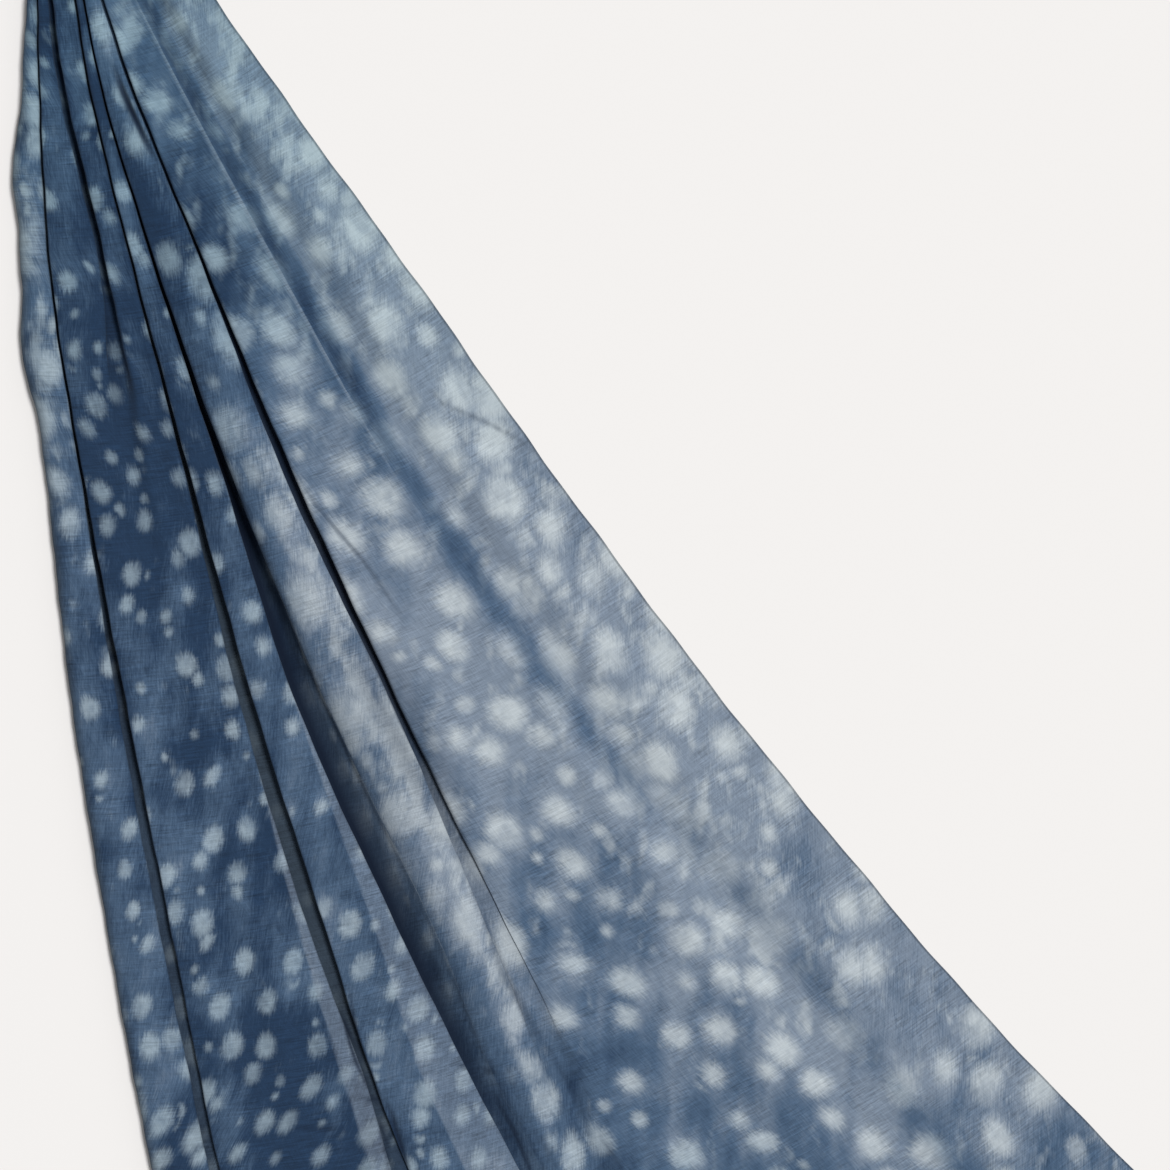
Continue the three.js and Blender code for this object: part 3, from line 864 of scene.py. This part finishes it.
# The printed spots and the specks between them. pitch: of the places for them, as a share of the
# spot pitch. radius: usual one, as a share of the pitch. spread: how much they differ. seed: of
# their places. kept: share of the places that have one. ragged: how far in or out the brushed
# edge runs from clear cloth to full spot.
SPOTS = {"pitch": 1.0, "radius": 0.225, "spread": 0.36, "seed": 1.37, "kept": 0.86,
         "ragged": (-0.17, 0.14)}
SPECKS = {"pitch": 0.62, "radius": 0.19, "spread": 0.4, "seed": 5.71, "kept": 0.22,
          "ragged": (-0.17, 0.15)}
SPOT_DRIFT = 0.26  # how far the places drift off their grid, as a share of the pitch
SPOT_DRIFT_SIZE = 0.055  # over this many metres
SPOT_JITTER = 0.80  # how far each spot strays within its own place, from 0 to 1
SPOT_LENGTH = 0.58  # how a spot's length counts beside its width, less for longer ones
BRUSH = 0.12  # length of the brushed hairs, as a share of the pitch
HAIR = 0.0013  # width of a hair, in metres


def clouds(u, v, wide, long, seed, detail=2.0, rough=0.5):
    """Soft noise about 0.5, that wide and that long in metres."""
    place = (u / wide + seed).with_y(v / long + seed * 0.7)
    inputs = {"Vector": place, "Scale": 1.0, "Detail": detail, "Roughness": rough}
    return u.node("ShaderNodeTexNoise", {"noise_dimensions": "2D"}, inputs)


def soft_noise(u, v, name):
    """The noise of that name, about 0.5."""
    return clouds(u, v, *NOISE[name])


def uneven_noise(u, v, name):
    """The noise of that name, about 0."""
    return soft_noise(u, v, name) - 0.5


def rough_edge(place, roughness):
    """Fine noise about 0 along a spot's edge."""
    inputs = {"Vector": place, "Scale": 1.0, "Detail": 3.0, "Roughness": roughness}
    return place.node("ShaderNodeTexNoise", {"noise_dimensions": "2D"}, inputs) - 0.5


def brushed_spots(u, v, lean, spot_pitch, scale, kind):
    """Round spots brushed out at their ends: how far inside one a place is, less than 0 outside.

    The two nearest spots count, so that those side by side run together.
    """
    pitch = spot_pitch * kind["pitch"]
    radius = scale * kind["radius"]
    seed = kind["seed"]
    drift_x, drift_y = [(clouds(u, v, SPOT_DRIFT_SIZE, SPOT_DRIFT_SIZE, seed + more) - 0.5) * SPOT_DRIFT
                        for more in (3.1, 9.7)]
    x = u / pitch + drift_x + seed
    y = v / pitch + drift_y + seed * 1.3
    found = []
    for feature in ("F1", "F2"):
        settings = {"voronoi_dimensions": "2D", "feature": feature}
        inputs = {"Vector": x.with_y(y), "Scale": 1.0, "Randomness": SPOT_JITTER}
        place = u.node("ShaderNodeTexVoronoi", settings, inputs, 2)
        cell_x, cell_y, _ = place.split()
        pick, size, turn = place.beside(1).split()
        off_x = x - cell_x
        off_y = y - cell_y
        angle = lean + (turn - 0.5) * 0.5
        run_x = angle.maths("SINE")
        run_y = angle.maths("COSINE")
        lengthways = off_x * run_x + off_y * run_y
        sideways = off_x * run_y - off_y * run_x
        away = (lengthways * lengthways * SPOT_LENGTH + sideways * sideways) ** 0.5
        around = (off_x / away * 4.0 + size * 37.0).with_y(off_y / away * 4.0 + pick * 17.0)
        spikes = rough_edge(around, 0.7)
        hair_place = (sideways * (pitch / HAIR) + size * 37.0).with_y(lengthways * 3.0)
        hair = rough_edge(hair_place, 0.65)
        upper = (lengthways * -4.0 + 0.5).clamped() * 0.6 + 0.4
        ragged = (hair * upper * 1.2 + spikes * 0.9) * BRUSH
        edge = ((size - 0.5) * (2 * kind["spread"]) + 1.0) * radius
        there = pick.eased(kind["kept"], kind["kept"] - 0.01)
        found.append((edge + ragged - away + 1.0) * there - 1.0)
    return found[0].maths("MAXIMUM", found[1])


def brush_strokes(u, v, comb):
    """Fine strokes in the dye, along the folds, and slanting across them on the open side."""
    bent = u + uneven_noise(u, v, "bend") * BEND
    along_folds = uneven_noise(bent, v, "strokes")
    slant_u = bent * SLANT[0] + v * SLANT[1]
    slant_v = bent * SLANT[1] - v * SLANT[0]
    slanting = uneven_noise(slant_v, slant_u, "slanting strokes") * 0.6
    return along_folds + (slanting - along_folds) * comb.eased(*SLANT_COMB)


def printed_spots(u, v, sizes, dye, strokes):
    """How pale the spots and specks make the cloth, and the faint halo around the spots."""
    lean = dye["comb"] * math.radians(1) + uneven_noise(u, v, "lean") * 0.7
    pitch = dye["spread"] * sizes.spot_pitch
    big = brushed_spots(u, v, lean, pitch, dye["size"], SPOTS)
    small = brushed_spots(u, v, lean, pitch, dye["size"], SPECKS)
    spots, specks = [(marks / dye["size"] + strokes * 0.16).eased(*kind["ragged"])
                     for marks, kind in ((big, SPOTS), (small, SPECKS))]
    specks = specks * big.eased(-0.10, -0.24)
    spots = spots.maths("MAXIMUM", specks * 0.85) * (soft_noise(u, v, "uneven spots") * 0.5 + 0.72)
    spots = spots * (soft_noise(u, v, "weak spots").eased(0.30, 0.52) * 0.36 + 0.68)
    return spots, big.eased(-0.40, 0.0) * (dye["haze"] + 0.3) * 0.22


def dyed_colour(u, v, sizes, colours, dye, strokes):
    """The print's colour, with painted light on the crests and rims and spots dimmed in painted shade,
    and how far each place is in a spot, from 0 to 1.
    """
    def colour(name):
        return tuple(getattr(colours, name))

    haze, cover, crest, rim = [dye[name] for name in ("haze", "cover", "crest", "rim")]
    spots, halo = printed_spots(u, v, sizes, dye, strokes)

    # The ground: broad clouds of dye with fine strokes through it, paler along the crests as painted
    # light, and on the rims as paler cloth with a painted highlight.
    clouded = uneven_noise(u, v, "broad dye") * (1.35 - haze * 0.35)
    clouded = (clouded + uneven_noise(u, v, "dye streaks") * 0.5) * (1.0 - cover * 0.7)
    tone = clouded + haze + strokes * 0.5 + (crest - 0.7) * 0.12 + halo + rim * 0.6
    indigo = tone.eased(-0.1, 0.5).blended(colour("deep"), colour("indigo"))
    ground = tone.eased(0.35, 1.1).blended(indigo, colour("haze"))

    # The spots, and the pale clouds where they run together.
    merging = soft_noise(u, v, "merging spots") + strokes * 0.2
    # The spots run together more along the crests, as painted light.
    merging = merging + dye["pale"] * (crest * 0.3 + 0.2)
    light = spots.maths("MAXIMUM", merging.eased(0.66, 1.02) * 0.75)
    # Spots fade where painted shade darkens the tucks and creases.
    light = light * (haze * 0.58 + 0.42) * (1.0 - dye["gloom"])
    light = (light * (1.0 - cover)).clamped()
    spot = haze.eased(0.0, 0.6).blended(colour("dim_spot"), colour("spot"))
    # Pale rims: paler cloth at the folded edges, with a painted highlight.
    printed = (rim * 0.7).blended(light.blended(ground, spot), colour("rim"))
    tint = v.eased(0.02, 0.40).blended(colour("head_tint"), (1.0, 1.0, 1.0, 1.0))
    return printed.times(tint), light


def weave_threads(weft, warp, rim, strokes):
    """Uneven weft threads across the folds and fainter warp ends: their shade and height."""
    slubs = uneven_noise(weft, warp, "slubs")
    ends = uneven_noise(weft, warp, "warp ends")
    dashes = uneven_noise(weft, warp, "dashes")
    patchy = soft_noise(weft, warp, "patches").eased(0.35, 0.65) * 0.7 + 0.5 + rim
    shade = slubs * patchy * 1.1 + dashes * patchy * 0.5 + ends * 0.5 + strokes * 0.3
    return shade, slubs + ends * 0.5


def lawn_material(sizes, colours):
    """Printed lawn: the dye, the spots and the weave, with painted shade in the tucks and creases and a
    painted highlight on the rims, and a little light through the cloth.
    """
    material = bpy.data.materials.new("printed lawn")
    material.use_nodes = True
    tree = material.node_tree
    tree.nodes.clear()
    root = Value(tree, None)
    u, v, weft, warp = [value for name in ("print", "grain") for value in
                        root.node("ShaderNodeUVMap", {"uv_map": name}, {}).split()[:2]]
    # Columns of dye, and of painted shade, the painted highlight on the rims and the crest light.
    dye = {name: root.node("ShaderNodeAttribute", {"attribute_name": name}, {}, 2)
           for name in ("haze", "pale", "size", "comb", "cover", "spread", "crest", "rim",
                        "reverse", "gloom")}

    strokes = brush_strokes(u, v, dye["comb"])
    printed, light = dyed_colour(u, v, sizes, colours, dye, strokes)
    threads, height = weave_threads(weft, warp, dye["rim"], strokes)
    selvedge = weft.eased(0.0022, 0.0009)
    shade = (threads * (1.0 - light * 0.5) + 1.0) * (1.0 - selvedge * 0.45)
    # The reverse, inside the tucks and on the outer turn, is painted as dark as it looks in shade.
    shown = shade.tinted(dye["reverse"].blended(printed, tuple(colours.reverse)))
    # Painted shade: the colour goes towards the shade colour deep in the tucks and along creases.
    shown = dye["gloom"].blended(shown, tuple(colours.shade))

    bump = root.node("ShaderNodeBump", {}, {"Strength": 0.35, "Distance": 0.0004, "Height": height})
    skin = root.node("ShaderNodeBsdfPrincipled", {}, {
        "Base Color": shown, "Roughness": 0.88, "Normal": bump, "Sheen Weight": 0.03,
        "Sheen Roughness": 0.6, "Specular IOR Level": 0.2})
    through = root.node("ShaderNodeBsdfTranslucent", {}, {"Color": shown, "Normal": bump})
    both = root.node("ShaderNodeMixShader", {}, {0: 0.10, 1: skin, 2: through})
    out = tree.nodes.new("ShaderNodeOutputMaterial")
    tree.links.new(both.socket, out.inputs["Surface"])
    return material


# ---- the surface, light and camera

def surface_material(colour):
    """A plain matt surface."""
    material = bpy.data.materials.new("pale surface")
    material.use_nodes = True
    skin = material.node_tree.nodes["Principled BSDF"]
    skin.inputs["Base Color"].default_value = colour
    skin.inputs["Roughness"].default_value = 0.9
    skin.inputs["Specular IOR Level"].default_value = 0.1
    return material


def make_stage(colours):
    """The pale surface, a soft light from the left, a pale sky, and the camera above."""
    bpy.ops.object.select_all(action="DESELECT")
    bpy.ops.mesh.primitive_plane_add(size=30.0, location=(0, 0, 0))
    surface = bpy.context.active_object
    surface.name = "surface"
    surface.data.materials.append(surface_material(tuple(colours.floor)))

    light = bpy.data.lights.new("soft key", "SUN")
    light.energy = KEY_LIGHT["strength"]
    light.angle = math.radians(KEY_LIGHT["angle"])
    key = bpy.data.objects.new("soft key", light)
    key.rotation_mode = "QUATERNION"
    key.rotation_quaternion = Vector(KEY_LIGHT["towards"]).to_track_quat("-Z", "Y")
    bpy.context.scene.collection.objects.link(key)

    world = bpy.data.worlds.new("soft studio")
    world.use_nodes = True
    sky = world.node_tree.nodes["Background"]
    sky.inputs["Color"].default_value = SKY["colour"]
    sky.inputs["Strength"].default_value = SKY["strength"]
    bpy.context.scene.world = world

    lens = bpy.data.cameras.new("camera")
    lens.lens = LENS
    lens.sensor_width = SENSOR
    lens.clip_end = 50.0
    camera = bpy.data.objects.new("camera", lens)
    camera.location = (*VIEW_MIDDLE, VIEW_SIDE * LENS / SENSOR)
    bpy.context.scene.collection.objects.link(camera)
    bpy.context.scene.camera = camera
    bpy.context.scene.view_settings.view_transform = "Standard"
    return surface


# ---- operators and panel

class LAWN_OT_cloth(bpy.types.Operator):
    """Make the gathered cut of printed lawn"""
    bl_idname = "lawn.cloth"
    bl_label = "Printed lawn"
    bl_options = {"REGISTER", "UNDO"}

    def execute(self, context):
        sizes = context.scene.lawn_sizes
        cloth = bpy.data.objects.new("printed_lawn", sheet_mesh(sizes))
        context.scene.collection.objects.link(cloth)
        cloth.data.materials.append(lawn_material(sizes, context.scene.lawn_colours))
        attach(cloth, "root")
        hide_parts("cloth")
        return {"FINISHED"}


class LAWN_OT_stage(bpy.types.Operator):
    """Make the pale surface, the soft light and the camera above"""
    bl_idname = "lawn.stage"
    bl_label = "Surface and light"
    bl_options = {"REGISTER", "UNDO"}

    def execute(self, context):
        make_stage(context.scene.lawn_colours)
        return {"FINISHED"}


class LAWN_PT_panel(bpy.types.Panel):
    """Sizes and colours of the cloth, and what makes it"""
    bl_idname = "LAWN_PT_panel"
    bl_label = "Printed lawn"
    bl_space_type = "VIEW_3D"
    bl_region_type = "UI"
    bl_category = "Lawn"

    def draw(self, context):
        column = self.layout.column()
        for group in (context.scene.lawn_sizes, context.scene.lawn_colours):
            for name in group.__annotations__:
                column.prop(group, name)
        column.operator("lawn.cloth")
        column.operator("lawn.stage")


CLASSES = (LawnSizes, LawnColours, LAWN_OT_cloth, LAWN_OT_stage, LAWN_PT_panel)


def register():
    for made in CLASSES:
        bpy.utils.register_class(made)
    bpy.types.Scene.lawn_sizes = bpy.props.PointerProperty(type=LawnSizes)
    bpy.types.Scene.lawn_colours = bpy.props.PointerProperty(type=LawnColours)


def unregister():
    del bpy.types.Scene.lawn_sizes
    del bpy.types.Scene.lawn_colours
    for made in reversed(CLASSES):
        bpy.utils.unregister_class(made)


def main():
    register()
    bpy.ops.lawn.cloth()
    bpy.ops.lawn.stage()


if __name__ == "__main__":
    main()
